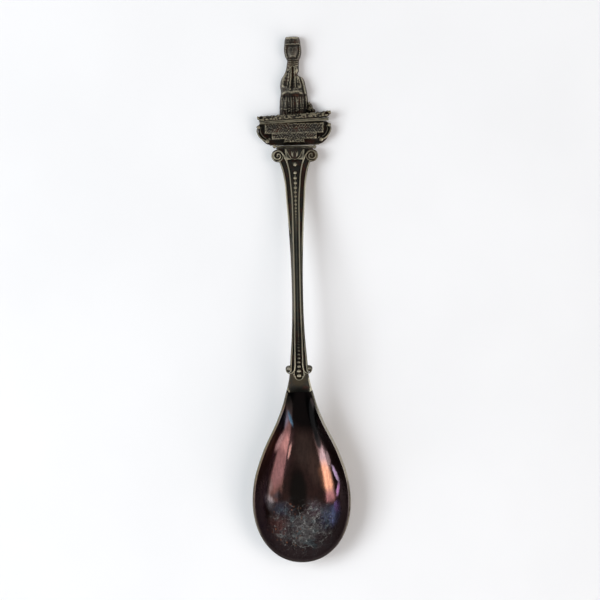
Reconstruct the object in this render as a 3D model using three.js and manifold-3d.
// Souvenir spoon: a tarnished silver-plated coffee spoon with a ridged and beaded stem, a scroll capital,
// a half-oval cartouche and a small robed figure on a rocky ledge. Millimetres, +Z up.
//
// The spoon lies as it does on a table: the bowl's underside and the flat back of the cartouche plate touch
// z = 0. Its length runs along Y, from the bowl's tip at -Y to the figure's cap at +Y. A "station" is the
// distance along the spoon from the tip of the bowl.

import * as THREE from 'three';
import { mergeVertices } from 'three/addons/utils/BufferGeometryUtils.js';
import Module from 'manifold-3d';

// ---------------------------------------------------------------- driving dimensions

const LENGTH = 115;
const SEAM = 0.15;          // solder line under the pieces laid on the stem
const GAP = 0.3;            // clearance between the pieces of the finial

const BOWL = {
  end: 37.2,                // station where the hollow meets the neck
  widest: 13.4,
  halfWidth: 10.7,
  deepest: 14.5,
  depth: 5.75,              // hollow, below the rim
  sheet: 0.75,
  rimEdge: 0.45,            // height of the rim's outer edge
  rimInner: 0.95,           // inner edge of the rim, as a share of the half-width
  roundness: 2.6,           // exponent of the hollow's section
  runOut: 1.4,              // exponent of the hollow's rise towards the neck
  fullness: 2.1,            // exponent of the outline round the tip
  rimAtTip: 5.315,          // height of the rim line at the tip and at the neck
  rimAtNeck: 8.825,
  rings: 9,
  segments: 44,
};
// [station, half-width] from the widest place to the neck.
const BOWL_SHOULDER = [
  [9.2, 10.3], [13.4, 10.7], [18, 10.25], [24.5, 8.15], [31, 5.05], [34.5, 3.7], [37.2, 2.95],
];

const STEM = { start: 37.5, end: 91.1, steps: 44 };
// [station, value] pairs: half-width, height of the top over the table, and thickness.
const STEM_HALF_WIDTH = [
  [37.5, 2.86], [40.9, 2.1], [44.2, 1.85], [48.5, 1.5], [60.6, 1.22], [72.6, 1.62],
  [79.1, 2.05], [83.5, 2.4], [86.4, 3.2], [88, 3.9], [90.2, 4.2], [91.1, 3.9],
];
const STEM_CROWN = [
  [37.5, 8.95], [42, 10], [48, 10.5], [56, 10.05], [66, 8.35], [76, 6], [84, 4.1], [91.1, 2.75],
];
const STEM_THICKNESS = [[37.5, 1.9], [76, 1.9], [91.1, 2.2]];
// Half the section, from the flat back over the bevelled flank and the edge rail to the sunk middle, as
// shares of the half-width and of the thickness.
const STEM_SECTION = [[0.7, 0], [0.95, 0.28], [1, 0.6], [1, 0.88], [0.92, 1], [0.76, 1], [0.68, 0.86]];
const POST = { share: 0.8, sink: 0.25, sides: 20 };   // posts under the studs and volutes

const VOLUTE = { x: 3.7, station: 88.9, radius: 1.15, eye: 0.34, turns: 1.25, leave: 0.88, disc: 1.4 };
const RIDGE_WIRE = 0.2;
// [x, station] of the right-hand ridge, from the volute down to the hook under the stud.
const RIDGE_ROUTE = [
  [2.1, 88.4], [1.74, 87.5], [1.44, 86.4], [1.2, 85], [1, 82.7], [0.8, 80.2], [0.66, 74], [0.56, 66],
  [0.54, 60], [0.62, 54], [0.78, 49], [0.82, 44.6], [0.86, 43], [1.06, 42], [1.57, 41.45], [2.3, 41.35],
];

const STUD = { x: 2.2, station: 42.45, radius: 0.6, height: 0.5 };
const BOSS = { station: 86.95, radius: 0.72, height: 0.65 };
const UPPER_BEADS = { first: 85.1, last: 75.3, count: 12, firstRadius: 0.42, lastRadius: 0.22 };
const LOWER_BEADS = { first: 40.9, last: 48.8, count: 11, firstRadius: 0.5, lastRadius: 0.22 };
const BEAD = { squash: 0.72, crowding: 0.33, cuts: 5, sides: 6 };
const CENTRE_WIRE = 0.14;
const PLAIN_STATIONS = [52, 56, 60, 64, 68, 72];

const LEAF = { foot: 88.2, tip: 90.2, halfWidth: 1.95, thickness: 0.5 };
const ABACUS = { station: 90.85, ballAt: 4.35, radius: 0.26, ball: 0.42, turn: -1.5 };

const PLATE = { bottom: 91.4, shoulder: 95, top: 96.4, halfWidth: 7.9, foot: 5.4, thickness: 1.4 };
// Rows of the tablet: half-width, lower station, upper station.
const TABLET_ROWS = [[2.3, 91.7, 92.5], [5.1, 92.5, 93.8], [6.5, 93.8, 95.6]];
const TABLET_THICKNESS = 1.1;
const CARTOUCHE_WIRE = 0.36;
const CARTOUCHE_BALL = 0.45;
// [x, station] of the right-hand scroll, from its upper ball to its lower one.
const CARTOUCHE_ROUTE = [[7.8, 95.1], [8.05, 94.6], [7.85, 93.9], [7.25, 93], [6.6, 92.5], [5.95, 92.3]];
const CARTOUCHE_TURN = 1;

const MOULDING = { station: 96.55, halfLength: 7.65, width: 0.7, height: 1.5, turn: 2.2 };
const LEDGE = { station: 97.9, halfLength: 8.1, rise: 0.15, drop: 0.78, endDrop: 0.3, depth: 3.7, turn: 3.2 };
const LEDGE_BACK = 0.1;

// The figure's stations: distance along the spoon, middle, half-width and height of the front.
const FIGURE = [
  [98.35, 0.1, 3.3, 3.3], [100, 0.1, 3.25, 3.35], [102.8, 0.15, 2.95, 3.3], [104.6, -0.1, 2.75, 3.2],
  [105.9, -0.2, 2.4, 3.0], [106.9, -0.3, 1.7, 2.7], [108.3, -0.1, 1.38, 2.5], [109.6, 0.05, 1.38, 2.6],
  [110.6, 0, 1.7, 3.1], [112, 0, 1.9, 3.3], [113.3, 0, 1.8, 3.1], [115, 0, 1.6, 2.6],
];
const FIGURE_BACK = 0.25;
const OUTCROP = { x: 4.2, station: 98.45, radius: 0.55, height: 1.7, depth: 1.9 };

const SILVER = { color: 0x6d6658, roughness: 0.42, metalness: 0.9 };
const DARK_SILVER = { color: 0x3b352d, roughness: 0.5, metalness: 0.85 };
const BOWL_TARNISH = { color: 0x2a1a26, roughness: 0.2, metalness: 0.95 };

// ---------------------------------------------------------------- helpers

const manifold = await Module();
manifold.setup();

const along = (station) => station - LENGTH / 2;

// A smooth curve through [station, value] pairs.
function track(pairs) {
  const stations = pairs.map((pair) => pair[0]);
  const values = pairs.map((pair) => pair[1]);
  const curve = new THREE.CubicInterpolant(stations, values, 1);
  return (station) => curve.evaluate(station)[0];
}

const stemHalfWidth = track(STEM_HALF_WIDTH);
const stemCrown = track(STEM_CROWN);
const stemThickness = track(STEM_THICKNESS);
const bowlShoulder = track(BOWL_SHOULDER);

function bowlHalfWidth(station) {
  if (station >= BOWL.widest) return bowlShoulder(station);
  const reach = Math.max(0, 1 - ((BOWL.widest - station) / BOWL.widest) ** BOWL.fullness);
  return BOWL.halfWidth * reach ** (1 / BOWL.fullness);
}

// Moves every vertex of a geometry through a function of its position.
function reshape(geometry, move) {
  const position = geometry.getAttribute('position');
  const point = new THREE.Vector3();
  for (let i = 0; i < position.count; i += 1) {
    point.fromBufferAttribute(position, i);
    move(point);
    position.setXYZ(i, point.x, point.y, point.z);
  }
  return geometry;
}

// Lays a flat geometry, whose y is a station, on the arched top of the stem.
function layOnStem(geometry) {
  return reshape(geometry, (point) => {
    point.z += stemCrown(point.y) + SEAM;
    point.y = along(point.y);
  });
}

function toSolid(geometry) {
  const bare = geometry.clone();
  bare.deleteAttribute('normal');
  bare.deleteAttribute('uv');
  const merged = mergeVertices(bare, 1e-4);
  const vertProperties = new Float32Array(merged.getAttribute('position').array);
  const triVerts = new Uint32Array(merged.index.array);
  return new manifold.Manifold(new manifold.Mesh({ numProp: 3, vertProperties, triVerts }));
}

// Joins geometries that run into each other into one closed geometry.
function fuse(geometries) {
  const solids = geometries.map(toSolid);
  const mesh = solids.reduce((sum, solid) => sum.add(solid)).getMesh();
  const geometry = new THREE.BufferGeometry();
  geometry.setAttribute('position', new THREE.BufferAttribute(new Float32Array(mesh.vertProperties), 3));
  geometry.setIndex(new THREE.BufferAttribute(new Uint32Array(mesh.triVerts), 1));
  geometry.computeVertexNormals();
  return geometry;
}

// A closed outline from the points of its right half, given from the bottom up.
function symmetricShape(right) {
  const left = right.map(([x, y]) => [-x, y]).reverse();
  return new THREE.Shape([...right, ...left].map(([x, y]) => new THREE.Vector2(x, y)));
}

function circle(radius, sides) {
  const points = [];
  for (let i = 0; i < sides; i += 1) {
    const angle = (2 * Math.PI * i) / sides;
    points.push(new THREE.Vector2(radius * Math.cos(angle), radius * Math.sin(angle)));
  }
  return new THREE.Shape(points);
}

function wire(points, radius, steps, sides) {
  const extrudePath = new THREE.CatmullRomCurve3(points, false, 'centripetal');
  return new THREE.ExtrudeGeometry(circle(radius, sides), { extrudePath, steps, bevelEnabled: false });
}

// A flat-bottomed dome on a short drum, standing on z = 0.
function dome(radius, height, segments) {
  const edge = height * 0.3;
  const cuts = 5;
  const profile = [new THREE.Vector2(0, 0), new THREE.Vector2(radius, 0)];
  for (let i = 0; i < cuts; i += 1) {
    const angle = (Math.PI / 2) * (i / cuts);
    profile.push(new THREE.Vector2(radius * Math.cos(angle), edge + (height - edge) * Math.sin(angle)));
  }
  profile.push(new THREE.Vector2(0, height));
  return new THREE.LatheGeometry(profile, segments).rotateX(Math.PI / 2);
}

function mirrored(route, side) {
  return route.map(([x, station]) => [side * x, station]);
}

function node(name, geometry, look) {
  const mesh = new THREE.Mesh(geometry, new THREE.MeshStandardMaterial(look));
  mesh.name = name;
  return mesh;
}

// ---------------------------------------------------------------- bowl

// Depth of the dish as a share of its greatest, from the shares of its width and of its length. It is
// round towards the tip and runs out gently towards the neck.
function dishDepth(sideways, lengthwise) {
  const across = Math.min(1, Math.abs(sideways));
  const along2 = Math.min(1, lengthwise ** 2);
  if (lengthwise < 0) return 1 - (along2 + across ** 2 * (1 - along2)) ** (BOWL.roundness / 2);
  return (1 - along2) ** BOWL.runOut * (1 - across ** BOWL.roundness);
}

// The wall is turned as a flat double disc of unit radius, whose z is 1 on the inner skin, -1 on the outer
// one and 0 at the lip. It is then stretched to the pear-shaped outline, dished, and laid on the sloping
// rim line.
function bowlGeometry() {
  const outer = [];
  const inner = [];
  for (let i = 0; i <= BOWL.rings; i += 1) {
    const share = i / BOWL.rings;
    outer.push(new THREE.Vector2(share, -1));
    inner.push(new THREE.Vector2(share * BOWL.rimInner, 1));
  }
  const wall = [...outer, new THREE.Vector2(1, 0), ...inner.reverse()];
  const disc = new THREE.LatheGeometry(wall, BOWL.segments).rotateX(Math.PI / 2);
  return reshape(disc, (point) => {
    const skin = Math.round(point.z);
    const lengthwise = THREE.MathUtils.clamp(point.y, -1, 1);
    const chord = Math.sqrt(1 - lengthwise ** 2);
    const reach = lengthwise < 0 ? BOWL.deepest : BOWL.end - BOWL.deepest;
    const station = BOWL.deepest + lengthwise * reach;
    const sideways = chord > 1e-3 ? point.x / chord : 0;
    const rim = THREE.MathUtils.lerp(BOWL.rimAtTip, BOWL.rimAtNeck, station / BOWL.end);
    let drop = BOWL.rimEdge / 4;
    if (skin > 0) drop = BOWL.depth * dishDepth(sideways / BOWL.rimInner, lengthwise / BOWL.rimInner);
    if (skin < 0) {
      const fall = BOWL.depth + BOWL.sheet - BOWL.rimEdge;
      drop = BOWL.rimEdge + fall * dishDepth(sideways, lengthwise);
    }
    point.set(sideways * bowlHalfWidth(station), along(station), rim - drop);
  });
}

// ---------------------------------------------------------------- stem

// The bar is extruded from the finial's end towards the bowl, then narrowed and arched along its length.
function stemBody() {
  const options = { depth: STEM.end - STEM.start, steps: STEM.steps, bevelEnabled: false };
  const bar = new THREE.ExtrudeGeometry(symmetricShape(STEM_SECTION), options);
  return reshape(bar, (point) => {
    const station = STEM.end - point.z;
    const thickness = stemThickness(station);
    const back = stemCrown(station) - thickness;
    point.set(point.x * stemHalfWidth(station), along(station), back + point.y * thickness);
  });
}

// A short post of the stem's own metal under a stud or a volute.
function stemPost(x, station, radius) {
  const height = stemThickness(station) * POST.share;
  const middle = stemCrown(station) - height / 2 - POST.sink;
  const post = new THREE.CylinderGeometry(radius, radius, height, POST.sides);
  return post.rotateX(Math.PI / 2).translate(x, along(station), middle);
}

function stemGeometry() {
  const posts = [-1, 1].flatMap((side) => [
    stemPost(side * VOLUTE.x, VOLUTE.station, VOLUTE.disc),
    stemPost(side * STUD.x, STUD.station, STUD.radius),
  ]);
  return fuse([stemBody(), ...posts]);
}

// The ridge wire of one side: it starts in the eye of the volute, winds outwards, runs down the stem and
// ends in a hook under the lower stud.
function stemScrollGeometry(side) {
  const route = [];
  const coils = 14;
  for (let i = 0; i <= coils; i += 1) {
    const share = i / coils;
    const angle = Math.PI * (VOLUTE.leave - 2 * VOLUTE.turns * (1 - share));
    const radius = THREE.MathUtils.lerp(VOLUTE.eye, VOLUTE.radius, share);
    route.push([VOLUTE.x + radius * Math.cos(angle), VOLUTE.station + radius * Math.sin(angle)]);
  }
  route.push(...RIDGE_ROUTE);
  const points = mirrored(route, side).map(([x, station]) => new THREE.Vector3(x, station, RIDGE_WIRE));
  const strand = wire(points, RIDGE_WIRE, 100, 6);
  const eye = new THREE.SphereGeometry(VOLUTE.eye, 10, 6);
  eye.translate(side * VOLUTE.x, VOLUTE.station, VOLUTE.eye);
  return layOnStem(fuse([strand, eye]));
}

// ---------------------------------------------------------------- beads, studs and leaf

// Half a profile of round beads, of graded size and spacing from one end of a row to the other.
function beadProfile(row) {
  const points = [];
  for (let i = 0; i < row.count; i += 1) {
    const share = i / (row.count - 1);
    const radius = THREE.MathUtils.lerp(row.firstRadius, row.lastRadius, share);
    const spread = share + BEAD.crowding * share * (1 - share);
    const middle = THREE.MathUtils.lerp(row.first, row.last, spread);
    for (let k = 1; k < BEAD.cuts; k += 1) {
      const angle = Math.PI * (k / BEAD.cuts);
      const reach = -Math.sign(row.last - row.first) * radius * BEAD.squash * Math.cos(angle);
      points.push(new THREE.Vector2(Math.max(CENTRE_WIRE, radius * Math.sin(angle)), middle + reach));
    }
  }
  return points;
}

// Height of the bead wire's axis over the stem, so that beads of every size lie on it.
const beadAxis = track([
  [LOWER_BEADS.first, LOWER_BEADS.firstRadius], [LOWER_BEADS.last, LOWER_BEADS.lastRadius],
  ...PLAIN_STATIONS.map((station) => [station, CENTRE_WIRE]),
  [UPPER_BEADS.last, UPPER_BEADS.lastRadius], [UPPER_BEADS.first, UPPER_BEADS.firstRadius],
]);

function beadWireGeometry() {
  const lower = beadProfile(LOWER_BEADS);
  const upper = beadProfile(UPPER_BEADS).reverse();
  const plain = PLAIN_STATIONS.map((station) => new THREE.Vector2(CENTRE_WIRE, station));
  const start = new THREE.Vector2(0, lower[0].y - 0.1);
  const finish = new THREE.Vector2(0, upper[upper.length - 1].y + 0.1);
  const strand = new THREE.LatheGeometry([start, ...lower, ...plain, ...upper, finish], BEAD.sides);
  return layOnStem(reshape(strand, (point) => {
    point.z += beadAxis(point.y);
  }));
}

function studGeometry(side) {
  return layOnStem(dome(STUD.radius, STUD.height, 14).translate(side * STUD.x, STUD.station, 0));
}

function bossGeometry() {
  return layOnStem(dome(BOSS.radius, BOSS.height, 18).translate(0, BOSS.station, 0));
}

// Three blades on one foot: a middle bud and two side blades that lean outwards.
function leafGeometry() {
  const { foot, tip, halfWidth, thickness } = LEAF;
  const waist = foot + (tip - foot) * 0.45;
  const blade = new THREE.Shape();
  blade.moveTo(-0.5, foot);
  blade.lineTo(0.5, foot);
  blade.quadraticCurveTo(halfWidth * 0.7, waist, halfWidth, tip);
  blade.quadraticCurveTo(halfWidth * 0.55, tip - 0.1, 0.6, waist + 0.2);
  blade.quadraticCurveTo(0.45, tip - 0.2, 0, tip);
  blade.quadraticCurveTo(-0.45, tip - 0.2, -0.6, waist + 0.2);
  blade.quadraticCurveTo(-halfWidth * 0.55, tip - 0.1, -halfWidth, tip);
  blade.quadraticCurveTo(-halfWidth * 0.7, waist, -0.5, foot);
  const options = { depth: thickness, bevelEnabled: false, curveSegments: 5 };
  return layOnStem(new THREE.ExtrudeGeometry(blade, options));
}

// ---------------------------------------------------------------- finial

// A turned bar with a ball at each end, lying across the spoon.
function abacusGeometry() {
  const { ballAt, radius, ball } = ABACUS;
  const neck = Math.PI - Math.asin(radius / ball);
  const end = [];
  for (let i = 0; i <= 5; i += 1) {
    const angle = neck * (i / 5);
    end.push([ball * Math.sin(angle), ballAt + ball * Math.cos(angle)]);
  }
  const low = end.map(([x, y]) => new THREE.Vector2(x, -y));
  const high = end.map(([x, y]) => new THREE.Vector2(x, y)).reverse();
  return new THREE.LatheGeometry([...low, ...high], 10).rotateZ(Math.PI / 2);
}

// The half-oval backing of the finial, with a flat back.
function plateGeometry() {
  const { bottom, shoulder, top, halfWidth, foot, thickness } = PLATE;
  const outline = new THREE.Shape();
  outline.moveTo(-foot, bottom);
  outline.lineTo(foot, bottom);
  outline.bezierCurveTo(foot + 1.3, bottom + 0.4, halfWidth, shoulder - 1.6, halfWidth, shoulder);
  outline.quadraticCurveTo(halfWidth, top - 0.4, halfWidth - 0.9, top);
  outline.lineTo(-halfWidth + 0.9, top);
  outline.quadraticCurveTo(-halfWidth, top - 0.4, -halfWidth, shoulder);
  outline.bezierCurveTo(-halfWidth, shoulder - 1.6, -foot - 1.3, bottom + 0.4, -foot, bottom);
  return new THREE.ExtrudeGeometry(outline, { depth: thickness, bevelEnabled: false, curveSegments: 7 });
}

// Three stacked rows that widen upwards, cut from one slab.
function tabletGeometry() {
  const right = TABLET_ROWS.flatMap(([halfWidth, from, to]) => [[halfWidth, from], [halfWidth, to]]);
  return new THREE.ExtrudeGeometry(symmetricShape(right), { depth: TABLET_THICKNESS, bevelEnabled: false });
}

function cartoucheScrollGeometry(side) {
  const points = mirrored(CARTOUCHE_ROUTE, side).map(([x, y]) => new THREE.Vector3(x, y, 0));
  const strand = wire(points, CARTOUCHE_WIRE, 18, 8);
  const balls = [points[0], points[points.length - 1]].map(({ x, y }) => (
    new THREE.SphereGeometry(CARTOUCHE_BALL, 12, 8).translate(x, y, 0)
  ));
  return fuse([strand, ...balls]).translate(0, 0, CARTOUCHE_BALL);
}

// A double half-round bar with a flat back.
function mouldingGeometry() {
  const { halfLength, width, height } = MOULDING;
  const radius = width / 4;
  const section = new THREE.Shape();
  section.moveTo(-width / 2, 0);
  section.lineTo(width / 2, 0);
  section.lineTo(width / 2, height - radius);
  section.absarc(radius, height - radius, radius, 0, Math.PI, false);
  section.absarc(-radius, height - radius, radius, 0, Math.PI, false);
  const options = { depth: 2 * halfLength, bevelEnabled: false, curveSegments: 5 };
  const bar = new THREE.ExtrudeGeometry(section, options).translate(0, 0, -halfLength);
  return bar.rotateX(Math.PI / 2).rotateZ(Math.PI / 2);
}

// A shelf of rough rock: level on top, with ends that taper upwards like the ends of a boat.
function ledgeGeometry() {
  const { halfLength, rise, drop, endDrop, depth } = LEDGE;
  const outline = new THREE.Shape();
  outline.moveTo(-halfLength, rise);
  outline.lineTo(-halfLength, -endDrop);
  outline.quadraticCurveTo(-halfLength * 0.8, -drop * 0.6, -halfLength * 0.66, -drop);
  outline.lineTo(halfLength * 0.66, -drop);
  outline.quadraticCurveTo(halfLength * 0.8, -drop * 0.6, halfLength, -endDrop);
  outline.lineTo(halfLength, rise);
  return new THREE.ExtrudeGeometry(outline, { depth, bevelEnabled: false, curveSegments: 4 });
}

// The figure is one loft with a flat back and a domed front; the stations give its feet, lap, shoulders,
// neck, head and cap.
function figureGeometry() {
  const middle = track(FIGURE.map(([station, x]) => [station, x]));
  const halfWidth = track(FIGURE.map(([station, , half]) => [station, half]));
  const front = track(FIGURE.map(([station, , , height]) => [station, height]));
  const first = FIGURE[0][0];
  const last = FIGURE[FIGURE.length - 1][0];
  const section = new THREE.Shape();
  section.moveTo(-0.92, 0);
  section.lineTo(0.92, 0);
  section.bezierCurveTo(1.1, 0.35, 0.95, 1, 0, 1);
  section.bezierCurveTo(-0.95, 1, -1.1, 0.35, -0.92, 0);
  const options = { depth: last - first, steps: 26, bevelEnabled: false, curveSegments: 6 };
  return reshape(new THREE.ExtrudeGeometry(section, options), (point) => {
    const station = last - point.z;
    const x = middle(station) + point.x * halfWidth(station);
    point.set(x, along(station), FIGURE_BACK + point.y * (front(station) - FIGURE_BACK));
  });
}

function outcropGeometry() {
  const { radius, height, depth } = OUTCROP;
  const outline = new THREE.Shape();
  outline.moveTo(-radius, 0);
  outline.lineTo(radius, 0);
  outline.lineTo(radius * 0.6, height * 0.5);
  outline.lineTo(-radius * 0.1, height);
  outline.lineTo(-radius, height * 0.8);
  return new THREE.ExtrudeGeometry(outline, { depth, bevelEnabled: false });
}

// ---------------------------------------------------------------- assembly

function turnedGroup(station, degrees) {
  const group = new THREE.Group();
  group.position.y = along(station);
  group.rotation.z = THREE.MathUtils.degToRad(degrees);
  return group;
}

const spoon = new THREE.Group();
const sides = [['left', -1], ['right', 1]];

spoon.add(node('bowl', bowlGeometry(), BOWL_TARNISH));
spoon.add(node('stem', stemGeometry(), SILVER));
spoon.add(node('bead_wire', beadWireGeometry(), SILVER));
spoon.add(node('boss', bossGeometry(), SILVER));
spoon.add(node('capital_leaf', leafGeometry(), SILVER));
for (const [name, side] of sides) {
  spoon.add(node(`stem_scroll_${name}`, stemScrollGeometry(side), SILVER));
  spoon.add(node(`lower_stud_${name}`, studGeometry(side), SILVER));
}

const abacus = turnedGroup(ABACUS.station, ABACUS.turn);
abacus.position.z = stemCrown(ABACUS.station) + ABACUS.ball + SEAM;
abacus.add(node('abacus_bar', abacusGeometry(), SILVER));
spoon.add(abacus);

// The cartouche's pieces are drawn at their own stations and turned together about the plate's foot.
const cartouche = turnedGroup(PLATE.bottom, CARTOUCHE_TURN);
const onPlate = PLATE.thickness + GAP;
cartouche.add(node('cartouche_plate', plateGeometry(), DARK_SILVER));
cartouche.add(node('tablet', tabletGeometry().translate(0, 0, onPlate), SILVER));
for (const [name, side] of sides) {
  const scroll = cartoucheScrollGeometry(side).translate(0, 0, onPlate);
  cartouche.add(node(`cartouche_scroll_${name}`, scroll, SILVER));
}
cartouche.children.forEach((mesh) => mesh.geometry.translate(0, -PLATE.bottom, 0));
spoon.add(cartouche);

const moulding = turnedGroup(MOULDING.station, MOULDING.turn);
moulding.position.z = onPlate;
moulding.add(node('top_moulding', mouldingGeometry(), SILVER));
spoon.add(moulding);

const ledge = turnedGroup(LEDGE.station, LEDGE.turn);
ledge.position.z = LEDGE_BACK;
ledge.add(node('ledge', ledgeGeometry(), DARK_SILVER));
spoon.add(ledge);

spoon.add(node('figure', figureGeometry(), SILVER));
const outcrop = node('outcrop', outcropGeometry(), DARK_SILVER);
outcrop.position.set(OUTCROP.x, along(OUTCROP.station), FIGURE_BACK);
spoon.add(outcrop);

export default spoon;
